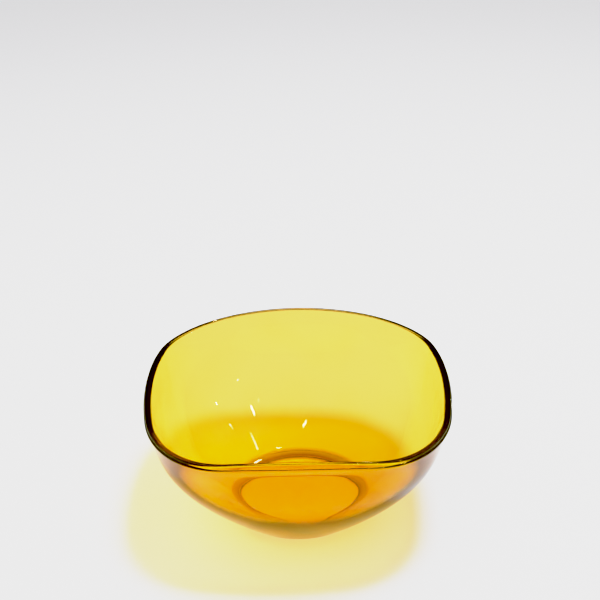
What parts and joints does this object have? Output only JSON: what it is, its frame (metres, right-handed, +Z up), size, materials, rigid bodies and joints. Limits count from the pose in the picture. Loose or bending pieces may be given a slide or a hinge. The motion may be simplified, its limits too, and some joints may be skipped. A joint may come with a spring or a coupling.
{
  "type": "glass bowl",
  "caption": "Rounded-square amber glass bowl with flared walls, a softly dipping fire-polished rim and a low round foot.",
  "frame": {"origin": "centre of the foot's resting face, on the table", "axes": "+Z up through the mouth of the bowl; +X and +Y through the middles of two neighbouring sides, -Y towards the front"},
  "size_m": [0.1498, 0.1498, 0.0747],
  "materials": {
    "amber_glass": "transparent amber, fire-polished gloss",
    "foot_glass": "transparent amber, polished, thicker than the wall"
  },
  "bodies": {
    "root": {"bowl_body": "amber_glass", "foot_pad": "foot_glass"}
  },
  "joints": []
}
